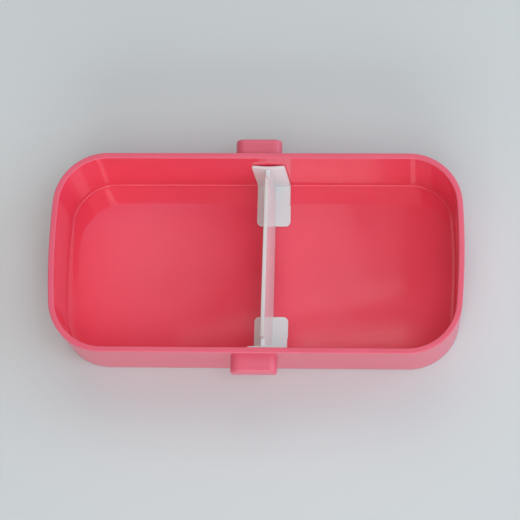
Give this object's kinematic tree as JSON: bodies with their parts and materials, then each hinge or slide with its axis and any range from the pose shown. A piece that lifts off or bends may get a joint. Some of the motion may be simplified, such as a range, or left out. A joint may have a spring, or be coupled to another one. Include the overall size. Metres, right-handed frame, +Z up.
{
  "type": "lunch box",
  "caption": "Open lunch box: a rounded rectangular moulded tray with a latch lug on each long side and a loose white divider that slides along it to set the compartments.",
  "frame": {"origin": "middle of the tray's flat base, on the surface it stands on", "axes": "+X along the tray's length, +Y from the front lug to the back lug, +Z up"},
  "size_m": [0.18, 0.1044, 0.037],
  "materials": {
    "tray_plastic": "coral pink moulded polypropylene, glossy inside and satin outside",
    "divider_plastic": "white moulded polypropylene, satin"
  },
  "bodies": {
    "tray": {"tray": "tray_plastic"},
    "divider": {"divider": "divider_plastic"}
  },
  "joints": [
    {"name": "divider_slide", "type": "slide", "parent": "tray", "child": "divider", "axis": [1, 0, 0], "range_m": [-0.062, 0.052]}
  ]
}
